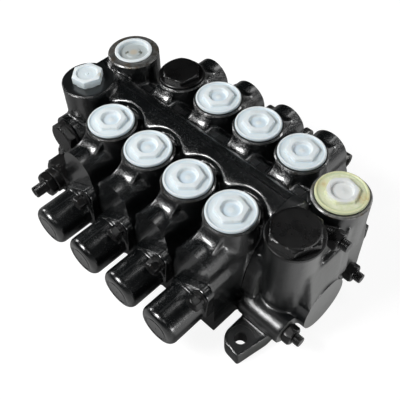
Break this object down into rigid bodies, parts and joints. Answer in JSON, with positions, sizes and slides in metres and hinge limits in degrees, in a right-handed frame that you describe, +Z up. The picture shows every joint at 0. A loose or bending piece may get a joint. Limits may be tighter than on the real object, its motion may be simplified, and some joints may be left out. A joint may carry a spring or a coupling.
{
  "type": "forklift control valve",
  "caption": "Sectional hydraulic directional control valve in black castings, with spring caps in front, plugged work ports on top and spool tongues at the back.",
  "frame": {"origin": "middle of the valve's footprint, at the plane its feet stand on", "axes": "+X along the stack from the inlet section to the end section, +Y from the spring caps to the spool tongues, +Z up out of the work ports"},
  "size_m": [0.2672, 0.216, 0.11],
  "materials": {
    "black_enamel": "glossy black enamel over a cast surface",
    "white_plastic": "milky, slightly translucent shipping plug",
    "yellowed_plastic": "milky shipping plug, yellowed",
    "blackened_steel": "blackened and painted steel",
    "ground_steel": "ground"
  },
  "bodies": {
    "valve_body": {"inlet_section": "black_enamel", "work_section_1": "black_enamel", "work_section_2": "black_enamel", "work_section_3": "black_enamel", "work_section_4": "black_enamel", "end_section": "black_enamel", "spring_cap_1": "black_enamel", "spring_cap_2": "black_enamel", "spring_cap_3": "black_enamel", "spring_cap_4": "black_enamel", "port_plug_a1": "white_plastic", "port_plug_a2": "white_plastic", "port_plug_a3": "white_plastic", "port_plug_a4": "white_plastic", "port_plug_b2": "white_plastic", "port_plug_b3": "white_plastic", "port_plug_b4": "white_plastic", "tank_port_plug": "white_plastic", "pressure_port_plug": "white_plastic", "outlet_port_plug": "yellowed_plastic", "port_plug_b1_steel": "blackened_steel", "end_plug_steel": "blackened_steel", "inlet_side_plug": "blackened_steel", "relief_valve_body": "blackened_steel", "relief_lock_nut": "blackened_steel", "relief_adjuster": "blackened_steel", "cap_screw_1_upper": "blackened_steel", "cap_screw_1_lower": "blackened_steel", "cap_screw_2_upper": "blackened_steel", "cap_screw_2_lower": "blackened_steel", "cap_screw_3_upper": "blackened_steel", "cap_screw_3_lower": "blackened_steel", "cap_screw_4_upper": "blackened_steel", "cap_screw_4_lower": "blackened_steel", "wiper_retainer_1": "blackened_steel", "wiper_retainer_2": "blackened_steel", "wiper_retainer_3": "blackened_steel", "wiper_retainer_4": "blackened_steel", "tie_rod_upper": "blackened_steel", "tie_rod_front": "blackened_steel", "tie_rod_rear": "blackened_steel", "end_nut_upper": "blackened_steel", "end_nut_front": "blackened_steel", "end_nut_rear": "blackened_steel", "inlet_nut_front": "blackened_steel", "inlet_nut_rear": "blackened_steel", "centring_spring_1": "ground_steel", "centring_spring_2": "ground_steel", "centring_spring_3": "ground_steel", "centring_spring_4": "ground_steel"},
    "spool_group_1": {"spool_1": "ground_steel", "spool_screw_1": "ground_steel"},
    "spool_group_2": {"spool_2": "ground_steel", "spool_screw_2": "ground_steel"},
    "spool_group_3": {"spool_3": "ground_steel", "spool_screw_3": "ground_steel"},
    "spool_group_4": {"spool_4": "ground_steel", "spool_screw_4": "ground_steel"}
  },
  "joints": [
    {"name": "spool_slide_1", "type": "slide", "parent": "valve_body", "child": "spool_group_1", "axis": [0, 1, 0], "range_m": [-0.006, 0.006], "stiffness_N_per_m": 8000, "deforming": ["centring_spring_1"]},
    {"name": "spool_slide_2", "type": "slide", "parent": "valve_body", "child": "spool_group_2", "axis": [0, 1, 0], "range_m": [-0.006, 0.006], "stiffness_N_per_m": 8000, "deforming": ["centring_spring_2"]},
    {"name": "spool_slide_3", "type": "slide", "parent": "valve_body", "child": "spool_group_3", "axis": [0, 1, 0], "range_m": [-0.006, 0.006], "stiffness_N_per_m": 8000, "deforming": ["centring_spring_3"]},
    {"name": "spool_slide_4", "type": "slide", "parent": "valve_body", "child": "spool_group_4", "axis": [0, 1, 0], "range_m": [-0.006, 0.006], "stiffness_N_per_m": 8000, "deforming": ["centring_spring_4"]}
  ]
}
